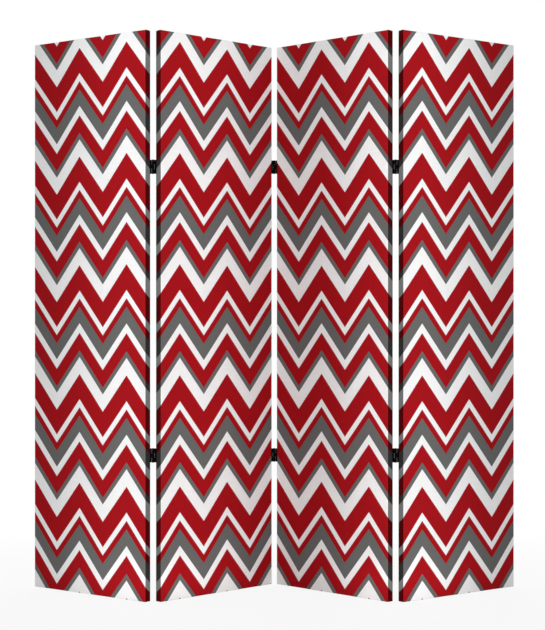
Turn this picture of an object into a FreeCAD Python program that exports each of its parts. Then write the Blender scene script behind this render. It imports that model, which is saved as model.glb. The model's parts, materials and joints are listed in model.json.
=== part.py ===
import FreeCAD, Part
import math
import os

# A folding screen of four panels: printed canvas stretched over pine frames, joined by
# pinned hinges, standing in a zigzag. Every second fold has its pins at the back.
# Millimetres, +X to the right, +Y away from the front, +Z up. The origin is on the floor
# under the middle of the standing screen.

V = FreeCAD.Vector
X = V(1, 0, 0)
Y = V(0, 1, 0)
Z = V(0, 0, 1)

# Panels, as they stand
PANEL_HEIGHT = 1829.0
PANEL_WIDTH = 508.0
PANEL_DEPTH = 25.4  # over both canvases
PANEL_GAP = 19.0  # between two panels that stand in line
INNER_TURN = 45.7  # degrees that the two middle panels turn from the screen's line
OUTER_TURN = 38.4  # degrees that the two end panels turn from it

# Canvas
CANVAS = 0.6  # one layer
RETURN_WIDTH = 22.0  # front canvas folded on to the back of the frame
BACK_INSET = 5.0  # back canvas short of the panel's edge
HEM_WIDTH = 10.0
BACK_LAYERS = 3  # folded front canvas, hem and back canvas

# Frame
BAR_WIDTH = 40.0
BAR_CHAMFER = 1.5  # eased outer edges, which the canvas is pulled over
LIP_WIDTH = 7.0  # flat top of the raised lip
LIP_RELIEF = 3.0  # the front face falls away from the canvas by this much
BISCUIT_MARGIN = 5.0  # mitre left beyond each end of a biscuit
BISCUIT_WIDTH = 16.0
BISCUIT_THICKNESS = 4.0
BISCUIT_POINT = 14.0  # length of each tapered end
CROSS_RAIL_HEIGHT = 38.0
CROSS_RAIL_SETBACK = 5.0  # from the front and back faces of the frame
CROSS_RAIL_CHAMFER = 2.0
CROSS_RAILS_APART = 610.0  # centre to centre, about the middle of the panel
TENON_LENGTH = 14.0
TENON_SHOULDER = 6.0

# Staples
STAPLE_CROWN = 10.0
STAPLE_LEG = 8.0
STAPLE_WIRE = 1.2
STAPLE_SLACK = 0.1  # room over the crown, under the back canvas
STAPLE_PITCH = 300.0
STAPLE_FROM_END = 60.0

# Hinges
BACK_HINGE_FROM_TOP = 437.0  # on the two folds with pins at the back
BACK_HINGE_FROM_FLOOR = 468.0
FRONT_HINGE_FROM_TOP = 407.0  # on the middle fold, which has its pins at the front
FRONT_HINGE_FROM_FLOOR = 440.0
FOLD_CLEARANCE = 0.75  # pin axis beyond the back canvas, so that shut panels don't rub
LEAF_HEIGHT = 45.0
LEAF_THICKNESS = 2.0
LEAF_INSET = 26.0  # let into the stile
LEAF_CORNER = 4.0  # cut from the two corners in the wood
KNUCKLES = 3
KNUCKLE_GAP = 0.3
ROLL_SEAM = 0.8  # left open where a rolled knuckle ends above the plate
PIN_CLEARANCE = 0.05
PIN_END = 1.0  # left proud of the knuckles at each end
SLIT_CLEARANCE = 0.3  # canvas cut clear of the leaf
BRAD_INSET = 14.0  # from the stile's edge
BRADS_APART = 25.0
BRAD_LENGTH = 16.0
BRAD_WIDTH = 1.2  # square wire
BRAD_HEAD_WIDTH = 2.8
BRAD_HEAD_DEPTH = 0.8
BRAD_CLEARANCE = 0.1  # in the leaf

# Worked out from the sizes above. A panel's own frame has its origin on the floor in the
# middle of its width and depth, with its front towards -Y.
FRAME_WIDTH = PANEL_WIDTH - 2 * CANVAS
FRAME_HEIGHT = PANEL_HEIGHT - 2 * CANVAS
FRAME_FRONT = -PANEL_DEPTH / 2 + CANVAS
FRAME_BACK = PANEL_DEPTH / 2 - BACK_LAYERS * CANVAS
FRAME_DEPTH = FRAME_BACK - FRAME_FRONT
FRAME_MIDDLE = (FRAME_FRONT + FRAME_BACK) / 2
CANVAS_CHAMFER = BAR_CHAMFER + CANVAS * (2 - math.sqrt(2))  # one layer over the bar's
EYE_RADIUS = BACK_LAYERS * CANVAS + FOLD_CLEARANCE  # inside of a rolled knuckle
KNUCKLE_RADIUS = EYE_RADIUS + LEAF_THICKNESS
PIN_RADIUS = EYE_RADIUS - PIN_CLEARANCE
KNUCKLE_HEIGHT = (LEAF_HEIGHT - (KNUCKLES - 1) * KNUCKLE_GAP) / KNUCKLES
# The plate starts where its inner face would meet a circle just clear of the knuckles
PLATE_START = math.sqrt((KNUCKLE_RADIUS + KNUCKLE_GAP) ** 2 - EYE_RADIUS**2)
STILE_EDGE = PANEL_GAP / 2 + CANVAS  # pin axis to the wood of the stile
HINGE_HEIGHTS = {
    "back": {"upper": PANEL_HEIGHT - BACK_HINGE_FROM_TOP, "lower": BACK_HINGE_FROM_FLOOR},
    "front": {"upper": PANEL_HEIGHT - FRONT_HINGE_FROM_TOP, "lower": FRONT_HINGE_FROM_FLOOR},
}

# Each panel's turn about +Z, and the face that carries the hinge at each end
PANELS = {
    1: (-OUTER_TURN, {"right": "back"}),
    2: (INNER_TURN, {"left": "back", "right": "front"}),
    3: (-INNER_TURN, {"left": "front", "right": "back"}),
    4: (OUTER_TURN, {"left": "back"}),
}
# Each fold: its two panels, and the panel whose leaves have the odd knuckles and the pins
FOLDS = {"fold_12": (1, 2, 2), "fold_23": (2, 3, 2), "fold_34": (3, 4, 3)}

HALF_TURNS = {
    ("left", "back"): FreeCAD.Rotation(),
    ("right", "back"): FreeCAD.Rotation(Y, 180),
    ("left", "front"): FreeCAD.Rotation(X, 180),
    ("right", "front"): FreeCAD.Rotation(Z, 180),
}


def box(low, high):
    """A box between two corners."""
    size = high - low
    return Part.makeBox(size.x, size.y, size.z, low)


def prism(points, travel):
    """A flat outline of straight sides, carried along travel."""
    outline = Part.makePolygon(points + [points[0]])
    return Part.Face(outline).extrude(travel)


def placed(shape, place):
    """A copy of shape, moved by place."""
    copy = shape.copy()
    copy.Placement = place.multiply(copy.Placement)
    return copy


def eased_slab(low, high, cut):
    """A box whose front and back edges are chamfered all the way round."""
    slab = box(low, high)
    edges = [e for e in slab.Edges if e.BoundBox.YLength < cut]
    return slab.makeChamfer(cut, edges)


def stretcher_bar(corner, across, along, length):
    """One mitred bar: a lipped section from its outer edge, across, carried along."""
    section = [
        (0, FRAME_FRONT + BAR_CHAMFER),
        (BAR_CHAMFER, FRAME_FRONT),
        (LIP_WIDTH, FRAME_FRONT),
        (BAR_WIDTH, FRAME_FRONT + LIP_RELIEF),
        (BAR_WIDTH, FRAME_BACK),
        (BAR_CHAMFER, FRAME_BACK),
        (0, FRAME_BACK - BAR_CHAMFER),
    ]
    bar = prism([corner + across * inward + Y * y for inward, y in section], along * length)
    start = corner + Y * FRAME_FRONT
    inner = across * BAR_WIDTH
    mitre = [
        start,
        start + inner + along * BAR_WIDTH,
        start + inner + along * (length - BAR_WIDTH),
        start + along * length,
    ]
    return bar.common(prism(mitre, Y * FRAME_DEPTH))


def stretcher_frame():
    """The four bars of a frame, by name."""
    left = -FRAME_WIDTH / 2
    top = PANEL_HEIGHT - CANVAS
    return {
        "left_stile": stretcher_bar(V(left, 0, CANVAS), X, Z, FRAME_HEIGHT),
        "right_stile": stretcher_bar(V(-left, 0, CANVAS), -X, Z, FRAME_HEIGHT),
        "bottom_rail": stretcher_bar(V(left, 0, CANVAS), Z, X, FRAME_WIDTH),
        "top_rail": stretcher_bar(V(left, 0, top), -Z, X, FRAME_WIDTH),
    }


def corner_biscuits():
    """A pointed biscuit along each mitre, at the middle of the frame's depth."""
    reach = BAR_WIDTH * math.sqrt(0.5) - BISCUIT_MARGIN
    half = BISCUIT_WIDTH / 2
    near = -BISCUIT_THICKNESS / 2
    right = [(reach - BISCUIT_POINT, half), (reach, 0), (reach - BISCUIT_POINT, -half)]
    outline = right + [(-x, -z) for x, z in right]
    biscuit = prism([V(x, near, z) for x, z in outline], Y * BISCUIT_THICKNESS)
    across = FRAME_WIDTH / 2 - BAR_WIDTH / 2
    low = CANVAS + BAR_WIDTH / 2
    high = PANEL_HEIGHT - low
    places = [
        FreeCAD.Placement(V(side * across, FRAME_MIDDLE, z), FreeCAD.Rotation(Y, side * lean))
        for side in (-1, 1)
        for z, lean in ((low, 45), (high, -45))
    ]
    return [placed(biscuit, place) for place in places]


def cross_rails():
    """Two chamfered rails with stub tenons, and the tenons' own bars, for the mortises."""
    half_span = FRAME_WIDTH / 2 - BAR_WIDTH
    half_height = CROSS_RAIL_HEIGHT / 2
    half_depth = FRAME_DEPTH / 2 - CROSS_RAIL_SETBACK
    cut = CROSS_RAIL_CHAMFER
    section = [
        V(-half_span, sy * (half_depth - dy), sz * (half_height - dz))
        for sy, sz, corner in (
            (-1, -1, ((0, cut), (cut, 0))),
            (1, -1, ((cut, 0), (0, cut))),
            (1, 1, ((0, cut), (cut, 0))),
            (-1, 1, ((cut, 0), (0, cut))),
        )
        for dy, dz in corner
    ]
    body = prism(section, X * 2 * half_span)
    tenon_end = V(
        half_span + TENON_LENGTH, half_depth - TENON_SHOULDER / 2, half_height - TENON_SHOULDER
    )
    tenons = box(-tenon_end, tenon_end)
    rail = body.fuse(tenons).removeSplitter()
    rails = []
    mortises = []
    for side in (-1, 1):
        middle = V(0, FRAME_MIDDLE, PANEL_HEIGHT / 2 + side * CROSS_RAILS_APART / 2)
        place = FreeCAD.Placement(middle, FreeCAD.Rotation())
        rails.append(placed(rail, place))
        mortises.append(placed(tenons, place))
    return rails, mortises


def front_canvas(slits):
    """Canvas over the front and the edges, folded on to the back, cut clear at each leaf."""
    outer = eased_slab(
        V(-PANEL_WIDTH / 2, -PANEL_DEPTH / 2, 0),
        V(PANEL_WIDTH / 2, FRAME_BACK + CANVAS, PANEL_HEIGHT),
        CANVAS_CHAMFER,
    )
    inner = eased_slab(
        V(-FRAME_WIDTH / 2, FRAME_FRONT, CANVAS),
        V(FRAME_WIDTH / 2, FRAME_BACK, CANVAS + FRAME_HEIGHT),
        BAR_CHAMFER,
    )
    half_window = FRAME_WIDTH / 2 - RETURN_WIDTH
    sill = CANVAS + RETURN_WIDTH
    window = box(
        V(-half_window, FRAME_MIDDLE, sill),
        V(half_window, FRAME_BACK + 2 * CANVAS, PANEL_HEIGHT - sill),
    )
    return outer.cut([inner, window] + slits)


def back_canvas():
    """A sheet with a hem folded under it all round, resting on the folded front canvas."""
    face = PANEL_DEPTH / 2
    half = PANEL_WIDTH / 2 - BACK_INSET
    sheet = box(
        V(-half, face - 2 * CANVAS, BACK_INSET),
        V(half, face, PANEL_HEIGHT - BACK_INSET),
    )
    open_half = half - HEM_WIDTH
    sill = BACK_INSET + HEM_WIDTH
    within_hem = box(
        V(-open_half, face - 2 * CANVAS, sill),
        V(open_half, face - CANVAS, PANEL_HEIGHT - sill),
    )
    return sheet.cut(within_hem)


def evenly(length):
    """Places along a bar, no more than a staple pitch apart."""
    span = length - 2 * STAPLE_FROM_END
    steps = max(1, math.ceil(span / STAPLE_PITCH))
    return [STAPLE_FROM_END + span * n / steps for n in range(steps + 1)]


def staples(hinged_ends):
    """Staples along the folded canvas, inside the hem, left out where a hinge leaf lies."""
    half = STAPLE_CROWN / 2
    crown_thickness = CANVAS - STAPLE_SLACK
    seat = FRAME_BACK + CANVAS
    top = seat + crown_thickness
    foot = FRAME_BACK - STAPLE_LEG
    leg = half - STAPLE_WIRE
    outline = [(-half, top), (half, top), (half, foot), (leg, foot)]
    outline += [(leg, seat), (-leg, seat), (-leg, foot), (-half, foot)]
    width = Z * STAPLE_WIRE
    lying = prism([V(x, y, -STAPLE_WIRE / 2) for x, y in outline], width)
    inset = (BACK_INSET - CANVAS + HEM_WIDTH + RETURN_WIDTH) / 2
    clear_of_leaf = LEAF_HEIGHT / 2 + STAPLE_CROWN
    upright = FreeCAD.Rotation(Y, 90)
    level = FreeCAD.Rotation()
    places = []
    for end, side in (("left", -1), ("right", 1)):
        leaf_heights = HINGE_HEIGHTS["back"].values() if hinged_ends.get(end) == "back" else ()
        for z in evenly(PANEL_HEIGHT):
            if all(abs(z - leaf) > clear_of_leaf for leaf in leaf_heights):
                places.append((V(side * (FRAME_WIDTH / 2 - inset), 0, z), upright))
    for x in evenly(FRAME_WIDTH):
        for z in (CANVAS + inset, PANEL_HEIGHT - CANVAS - inset):
            places.append((V(x - FRAME_WIDTH / 2, 0, z), level))
    return [placed(lying, FreeCAD.Placement(point, turn)) for point, turn in places]


# A hinge's own frame has its origin on the pin's axis at the middle of the hinge. The leaf
# runs towards +X and the wood that it is let into lies towards -Y.


def brads(spare=0.0):
    """A leaf's two brads, with tee heads flush in its outer face, grown sideways by spare."""
    top = -EYE_RADIUS
    neck = top - BRAD_HEAD_DEPTH
    head = BRAD_HEAD_WIDTH / 2 + spare
    shank = BRAD_WIDTH / 2 + spare
    right = [(head, top), (head, neck), (shank, neck), (shank, top - BRAD_LENGTH)]
    outline = right + [(-x, y) for x, y in reversed(right)]
    brad = prism([V(x, y, -shank) for x, y in outline], Z * 2 * shank)
    across = STILE_EDGE + BRAD_INSET
    places = [V(across, 0, side * BRADS_APART / 2) for side in (-1, 1)]
    return [placed(brad, FreeCAD.Placement(p, FreeCAD.Rotation())) for p in places]


def leaf_plate():
    """The flat of a leaf, from beside the knuckles to the two cut corners in the wood."""
    near = PLATE_START
    far = STILE_EDGE + LEAF_INSET
    half = LEAF_HEIGHT / 2
    upper = [(near, half), (far - LEAF_CORNER, half), (far, half - LEAF_CORNER)]
    outline = upper + [(x, -z) for x, z in reversed(upper)]
    return prism([V(x, -KNUCKLE_RADIUS, z) for x, z in outline], Y * LEAF_THICKNESS)


def leaf(first_knuckle):
    """A leaf with every second knuckle, rolled from the plate round the pin."""
    rolls = []
    seams = []
    for n in range(first_knuckle, KNUCKLES, 2):
        low = n * (KNUCKLE_HEIGHT + KNUCKLE_GAP) - LEAF_HEIGHT / 2
        rolls.append(Part.makeCylinder(KNUCKLE_RADIUS, KNUCKLE_HEIGHT, V(0, 0, low)))
        start = V(0, -KNUCKLE_RADIUS, low)
        end = V(PLATE_START, -EYE_RADIUS, low + KNUCKLE_HEIGHT)
        rolls.append(box(start, end))
        seam_end = V(KNUCKLE_RADIUS, ROLL_SEAM - EYE_RADIUS, low + KNUCKLE_HEIGHT)
        seams.append(box(V(0, -EYE_RADIUS, low), seam_end))
    eye = Part.makeCylinder(EYE_RADIUS, LEAF_HEIGHT, V(0, 0, -LEAF_HEIGHT / 2))
    return leaf_plate().fuse(rolls).cut([eye] + seams + brads(BRAD_CLEARANCE)).removeSplitter()


def pin():
    """A plain pin through every knuckle, proud at both ends."""
    length = LEAF_HEIGHT + 2 * PIN_END
    return Part.makeCylinder(PIN_RADIUS, length, V(0, 0, -length / 2))


def slit():
    """The canvas cut away where a leaf comes out of the stile's edge."""
    half = LEAF_HEIGHT / 2 + SLIT_CLEARANCE
    return box(
        V(STILE_EDGE - 2 * CANVAS, -KNUCKLE_RADIUS - SLIT_CLEARANCE, -half),
        V(STILE_EDGE + BAR_CHAMFER, 0, half),
    )


def pin_axis(end, face):
    """Where a hinge's pin stands in its panel's frame, at floor height."""
    side = {"left": -1, "right": 1}[end]
    y = {"front": FRAME_FRONT - EYE_RADIUS, "back": FRAME_BACK + EYE_RADIUS}[face]
    return V(side * (PANEL_WIDTH / 2 + PANEL_GAP / 2), y, 0)


def hinge_places(hinged_ends):
    """Each hinge of a panel: its end, upper or lower, and its place in the panel's frame."""
    return [
        (end, level, FreeCAD.Placement(pin_axis(end, face) + Z * z, HALF_TURNS[end, face]))
        for end, face in hinged_ends.items()
        for level, z in HINGE_HEIGHTS[face].items()
    ]


def panel_places():
    """Each panel's place, worked outwards from the middle fold's pin through shared pins."""
    places = {}

    def hang(number, end, pivot):
        turn, ends = PANELS[number]
        rotation = FreeCAD.Rotation(Z, turn)
        centre = pivot - rotation.multVec(pin_axis(end, ends[end]))
        places[number] = FreeCAD.Placement(centre, rotation)

    def pivot_of(number, end):
        return places[number].multVec(pin_axis(end, PANELS[number][1][end]))

    hang(2, "right", V(0, 0, 0))
    hang(3, "left", V(0, 0, 0))
    hang(1, "right", pivot_of(2, "left"))
    hang(4, "left", pivot_of(3, "right"))
    return places


def build_panel(hinged_ends):
    """A panel's own pieces, in its own frame, by name."""
    bars = stretcher_frame()
    biscuits = corner_biscuits()
    rails, mortises = cross_rails()
    hinges = hinge_places(hinged_ends)
    fixings = [placed(s, place) for _, _, place in hinges for s in brads()]
    recesses = [placed(leaf_plate(), place) for _, _, place in hinges]
    slits = [placed(slit(), place) for _, _, place in hinges]
    pieces = {name: [bar.cut(biscuits + mortises + recesses)] for name, bar in bars.items()}
    pieces["cross_rails"] = rails
    pieces["corner_biscuits"] = biscuits
    pieces["front_canvas"] = [front_canvas(slits)]
    pieces["back_canvas"] = [back_canvas()]
    pieces["staples"] = staples(hinged_ends)
    pieces["hinge_brads"] = fixings
    return pieces


def build_screen():
    """Every piece of the standing screen, by node name, and the points that it stands on."""
    places = panel_places()
    nodes = {}
    for number, (_, hinged_ends) in PANELS.items():
        for name, solids in build_panel(hinged_ends).items():
            nodes[f"panel_{number}_{name}"] = [placed(s, places[number]) for s in solids]
    points = {f"panel_{number} stands at": place.Base for number, place in places.items()}
    for fold, (left_panel, right_panel, pinned) in FOLDS.items():
        for number, end, side in ((left_panel, "right", "left"), (right_panel, "left", "right")):
            ends = PANELS[number][1]
            first_knuckle = 0 if number == pinned else 1
            for _, level, place in hinge_places({end: ends[end]}):
                stands = places[number].multiply(place)
                nodes[f"{fold}_{level}_{side}_leaf"] = [placed(leaf(first_knuckle), stands)]
                if number == pinned:
                    nodes[f"{fold}_{level}_pin"] = [placed(pin(), stands)]
        end = "left" if pinned == right_panel else "right"
        points[f"{fold} pin axis"] = places[pinned].multVec(pin_axis(end, PANELS[pinned][1][end]))
    return nodes, points


def main():
    """Build the screen, stand it over the origin and write one file per node."""
    nodes, points = build_screen()
    everything = Part.makeCompound([s for solids in nodes.values() for s in solids])
    bounds = everything.optimalBoundingBox(False)
    shift = V(-bounds.Center.x, -bounds.Center.y, 0)
    os.makedirs("parts", exist_ok=True)
    for name, solids in nodes.items():
        for solid in solids:
            solid.translate(shift)
        shape = solids[0] if len(solids) == 1 else Part.makeCompound(solids)
        shape.exportStep(f"parts/{name}.step")
    print(f"{len(nodes)} nodes, {bounds.XLength:.1f} x {bounds.YLength:.1f} x {bounds.ZLength:.1f}")
    for name, point in points.items():
        print(name, [round(c, 3) for c in point + shift])


main()
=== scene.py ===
# %% [markdown]
# # A folding screen of four canvas panels
# The CAD frame holds four stretched-canvas panels and their pinned hinges at real size. This
# lesson gives every surface its finish: cotton canvas printed with a chevron, hemmed backs,
# enamelled hinges, and bare wood and wire inside. Lengths are metres, in the frame's own axes:
# +X to the right seen from the front, +Y towards the back, +Z up.

# %% Load the frame
import json
from collections import namedtuple

import bpy
import numpy as np
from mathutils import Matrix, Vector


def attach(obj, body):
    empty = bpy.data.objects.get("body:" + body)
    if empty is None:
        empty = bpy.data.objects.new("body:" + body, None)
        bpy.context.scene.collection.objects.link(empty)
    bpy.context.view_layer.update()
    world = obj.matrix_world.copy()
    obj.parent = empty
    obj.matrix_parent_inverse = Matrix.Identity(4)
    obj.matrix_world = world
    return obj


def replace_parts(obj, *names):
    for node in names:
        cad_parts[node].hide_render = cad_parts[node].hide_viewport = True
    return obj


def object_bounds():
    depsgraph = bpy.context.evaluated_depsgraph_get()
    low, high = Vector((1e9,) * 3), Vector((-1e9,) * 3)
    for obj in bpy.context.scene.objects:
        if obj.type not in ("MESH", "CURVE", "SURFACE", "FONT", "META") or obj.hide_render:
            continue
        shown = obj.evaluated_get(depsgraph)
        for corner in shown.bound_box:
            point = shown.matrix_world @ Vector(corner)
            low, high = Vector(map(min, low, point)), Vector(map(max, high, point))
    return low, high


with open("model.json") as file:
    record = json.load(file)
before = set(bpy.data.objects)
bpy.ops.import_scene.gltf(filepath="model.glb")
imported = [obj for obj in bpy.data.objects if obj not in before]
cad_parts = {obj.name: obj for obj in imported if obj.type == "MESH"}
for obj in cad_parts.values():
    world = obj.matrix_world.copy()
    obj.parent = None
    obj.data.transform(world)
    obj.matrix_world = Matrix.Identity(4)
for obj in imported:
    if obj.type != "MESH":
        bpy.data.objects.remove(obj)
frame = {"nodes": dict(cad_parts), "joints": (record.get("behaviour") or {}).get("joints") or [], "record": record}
cad_low, cad_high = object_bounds()
BODIES = frame["record"]["behaviour"]["bodies"]

# %% [markdown]
# ## Where each panel stands
# Each panel is turned about the upright axis, so its cloth is easiest to shape in axes of its
# own: along its width, towards its back, and up. The turns could be typed in, but the frame
# already holds them. In plan a back canvas is a long thin rectangle, so the direction in which
# its points spread the most is the panel's width.

# %% Measure the panels
Panel = namedtuple("Panel", "number body axes middle half_width half_depth height")
CAD_DECIMALS = 6  # of a metre; CAD points that agree so far are one


def node_points(node):
    """The distinct points of a CAD node, one row each."""
    mesh = frame["nodes"][node].data
    flat = np.empty(3 * len(mesh.vertices), np.float32)
    mesh.vertices.foreach_get("co", flat)
    return np.unique(flat.reshape(-1, 3).astype(float).round(CAD_DECIMALS), axis=0)


def measure_panel(number):
    """Axes from the widest spread of the back canvas in plan; sizes from both canvases."""
    body = f"panel_{number}"
    back = node_points(f"{body}_back_canvas")
    plan = back[:, :2] - back[:, :2].mean(0)
    along = np.linalg.svd(plan, full_matrices=False)[2][0]
    along = along * np.sign(along[0])
    axes = np.array([[along[0], along[1], 0], [-along[1], along[0], 0], [0, 0, 1]])
    both = np.concatenate([back, node_points(f"{body}_front_canvas")]) @ axes.T
    low, high = both.min(0), both.max(0)
    middle = (low + high) / 2 * [1, 1, 0]
    half = (high - low) / 2
    return Panel(number, body, axes, middle @ axes, half[0], half[1], high[2])


def in_panel(panel, points):
    """Points of the frame in the panel's own axes."""
    return (points - panel.middle) @ panel.axes.T


def in_frame(panel, points):
    """Points of the panel's own axes in the frame."""
    return points @ panel.axes + panel.middle


def turn_of(panel):
    """How far the panel is turned about the upright axis, in radians."""
    return float(np.arctan2(panel.axes[0, 1], panel.axes[0, 0]))


PANELS = [measure_panel(number) for number in range(1, len(BODIES) + 1)]
for panel in PANELS:
    degrees = np.degrees(turn_of(panel))
    print(f"panel {panel.number} turned {degrees:.1f} degrees, {2 * panel.half_width:.3f} wide")

# %% [markdown]
# ## The camera
# The place and focal length come from fitting the panels' edges to the picture: the eye is
# at mid height, about five and a half metres away and square to the screen. The picture is
# taller than it is wide, and the sensor's size belongs to the longer side.

# %% Camera
PICTURE_HEIGHT = 630  # pixels
FOCAL_LENGTH = 1685.0  # pixels
SENSOR = 36.0  # millimetres, along the picture's longer side
EYE = (-0.0060, -5.5717, 0.9175)

camera = bpy.data.objects.new("camera", bpy.data.cameras.new("camera"))
camera.data.sensor_width = SENSOR
camera.data.lens = FOCAL_LENGTH / PICTURE_HEIGHT * SENSOR
camera.location = EYE
camera.rotation_euler = (np.pi / 2, 0, 0)
bpy.context.scene.collection.objects.link(camera)
bpy.context.scene.camera = camera
print(f"lens {camera.data.lens:.1f} mm")

# %% [markdown]
# ## From arrays to a mesh
# Every new piece below is a set of arrays: points, faces, and for cloth a flat position for
# each corner of each face, so that the print follows the cloth round an edge. One helper turns
# them into a smooth object that rides on a CAD body.

# %% Make a piece
PRINT_MAP = "print"


def make_piece(name, points, faces, body, flat=None):
    """A smooth mesh object that rides on a body; flat has one (x, y) for each face corner."""
    mesh = bpy.data.meshes.new(name)
    mesh.from_pydata(np.asarray(points).tolist(), [], [list(map(int, face)) for face in faces])
    mesh.polygons.foreach_set("use_smooth", np.ones(len(mesh.polygons), bool))
    if flat is not None:
        layer = mesh.uv_layers.new(name=PRINT_MAP)
        layer.data.foreach_set("uv", np.asarray(flat, np.float32).ravel())
    piece = bpy.data.objects.new(name, mesh)
    bpy.context.scene.collection.objects.link(piece)
    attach(piece, body)
    return piece


print("flat places of cloth go into the map named", PRINT_MAP)

# %% [markdown]
# ## Canvas pulled round a frame
# A panel's front canvas covers the front and all four edges and is folded on to the back. A
# bevelled cube would do for the outline, but the cloth needs a flat map for its print, slits
# where the hinge leaves come out, and an open back. So the six sides of a box are laid out as
# grids, the quads that aren't there are left out, and one formula rounds all the edges at once.

# %% A box as grids
CLOTH = 0.0006
EDGE_RADIUS = 0.0025
GRID_STEP = 0.012
ARC_STEPS = 4
GRID_DECIMALS = 7  # of a metre; grid points that agree so far are welded
LEFT_END, RIGHT_END, FRONT, BACK, UNDERSIDE, TOP = range(6)


def edge_lines(low, high, radius, extra=()):
    """Grid lines along one side of a box, close together at its rounded ends.

    A line at r (1 - tan a) from the corner lands at angle a of the arc, so equal angles give
    an even arc. One more line at 2 r keeps the flat from shading like the arc, and the even
    steps between start 3 r from the corner.
    """
    arc = radius * (1 - np.tan(np.linspace(0, np.pi / 4, ARC_STEPS + 1)))
    near = np.append(arc, 2 * radius)
    count = int(np.ceil((high - low) / GRID_STEP))
    middle = np.linspace(low, high, count + 1)
    middle = middle[(middle > low + 3 * radius) & (middle < high - 3 * radius)]
    return np.unique(np.concatenate([low + near, middle, high - near, extra]).round(GRID_DECIMALS))


def box_quads(lines):
    """Outward quads (n, 4, 3) on the six sides of a box, and each quad's side."""
    quads, sides = [], []
    for axis in range(3):
        first, second = (axis + 1) % 3, (axis + 2) % 3
        a, b = np.meshgrid(lines[first], lines[second], indexing="ij")
        for end, turn in ((0, -1), (-1, 1)):
            grid = np.empty(a.shape + (3,))
            grid[..., axis] = lines[axis][end]
            grid[..., first] = a
            grid[..., second] = b
            corners = [grid[:-1, :-1], grid[1:, :-1], grid[1:, 1:], grid[:-1, 1:]]
            quads.append(np.stack(corners, axis=2).reshape(-1, 4, 3)[:, ::turn])
            sides.append(np.full(len(quads[-1]), 2 * axis - end))
    return np.concatenate(quads), np.concatenate(sides)


def rounded(points, low, high, radius):
    """A box's points moved on to the same box with round edges.

    Each point p goes to q + r (p - q) / |p - q|, where q is p held inside the box less r.
    """
    core = np.clip(points, low + radius, high - radius)
    away = points - core
    return core + radius * away / np.linalg.norm(away, axis=-1, keepdims=True)


def weld(quads):
    """Shared points, and faces that use them, from quads that each have their own corners."""
    points, faces = np.unique(quads.reshape(-1, 3).round(GRID_DECIMALS), axis=0, return_inverse=True)
    return points, faces.reshape(-1, 4)


print(len(edge_lines(0, PANELS[0].height, EDGE_RADIUS)), "grid lines up a panel")

# %% [markdown]
# ## The cloth laid flat again
# The print was made on flat cloth, so each corner of a quad gets the place that it had there.
# Going over an edge, the distance simply runs on: the end faces carry on sideways and the top
# and bottom carry on up and down. The zigzag starts with a peak at the edge furthest from
# the ridge fold, so even panels count from their right edge and odd ones from their left.

# %% Unroll a panel's cloth
RETURN_WIDTH = 0.022  # folded on to the back of the frame


def from_first_peak(panel, across):
    """Distance along the print from the panel edge where its zigzag has a peak."""
    odd = panel.number % 2 == 1
    return across + panel.half_width if odd else panel.half_width - across


def unrolled(panel, quads, sides, low, high):
    """Flat (x, y) of each corner: sideways from the first peak, and up from the floor."""
    across, deep, up = np.moveaxis(quads, 2, 0)
    centre = quads.mean(1, keepdims=True)[..., 0]
    sides = sides[:, None]
    turned = deep - low[1]
    folded = high[1] - low[1]
    sideways_fold = abs(centre) > high[0] - CLOTH - RETURN_WIDTH
    left = low[0] - np.where(sides == BACK, folded + across - low[0], turned)
    right = high[0] + np.where(sides == BACK, folded + high[0] - across, turned)
    on_left = (sides == LEFT_END) | ((sides == BACK) & sideways_fold & (centre < 0))
    on_right = (sides == RIGHT_END) | ((sides == BACK) & sideways_fold & (centre > 0))
    x = np.select([on_left, on_right], [left, right], across)
    beyond = np.where(sides == BACK, folded, turned)
    level_fold = (sides == BACK) & ~sideways_fold
    over_top = (sides == TOP) | (level_fold & (up > panel.height / 2))
    over_foot = (sides == UNDERSIDE) | (level_fold & (up < panel.height / 2))
    rise = np.where(sides == BACK, high[2] - up, 0)
    drop = np.where(sides == BACK, up - low[2], 0)
    y = np.select([over_top, over_foot], [high[2] + beyond + rise, low[2] - beyond - drop], up)
    return np.stack([from_first_peak(panel, x), y], axis=2)


print(f"{1000 * RETURN_WIDTH:.0f} mm of cloth goes on to the back")

# %% [markdown]
# ## Slits and slack
# Stretched cloth isn't quite flat: between the bars it gives inwards by a few tenths of a
# millimetre, in slow waves that differ from panel to panel. At each hinge the cloth is slit
# where the leaf comes out of the stile. The CAD leaf says where, so no place is typed in.

# %% Slits and slack
SLIT_CLEARANCE = 0.0003
SLACK = 0.0005


def leaves_on(panel):
    """The nodes of the hinge leaves let into this panel."""
    return [node for node in BODIES[panel.body] if node.endswith("_leaf")]


def slits(panel):
    """For each leaf: the panel's end (-1 or 1), its face (-1 or 1), a depth and two heights."""
    found = []
    for node in leaves_on(panel):
        leaf = in_panel(panel, node_points(node))
        plate = leaf[abs(leaf[:, 0]) < panel.half_width]
        end, face = np.sign(plate[:, :2].mean(0))
        depth = face * (min(face * plate[:, 1]) - SLIT_CLEARANCE)
        heights = plate[:, 2].min() - SLIT_CLEARANCE, plate[:, 2].max() + SLIT_CLEARANCE
        found.append((end, face, depth, heights))
    return found


def slack(panel, points):
    """How far the cloth gives: s (1 - a^4) (1 - b^8) (1 + waves) / 2, with a and b from -1 to 1.

    The waves are sin(3 a + 7 b + n) sin(2 a - 11 b + 2 n), where n is the panel's number.
    """
    a = points[:, 0] / panel.half_width
    b = 2 * points[:, 2] / panel.height - 1
    waves = np.sin(3 * a + 7 * b + panel.number) * np.sin(2 * a - 11 * b + 2 * panel.number)
    return SLACK * (1 - a**4) * (1 - b**8) * (1 + waves) / 2


print(sum(len(slits(panel)) for panel in PANELS), "slits for hinge leaves")

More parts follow.
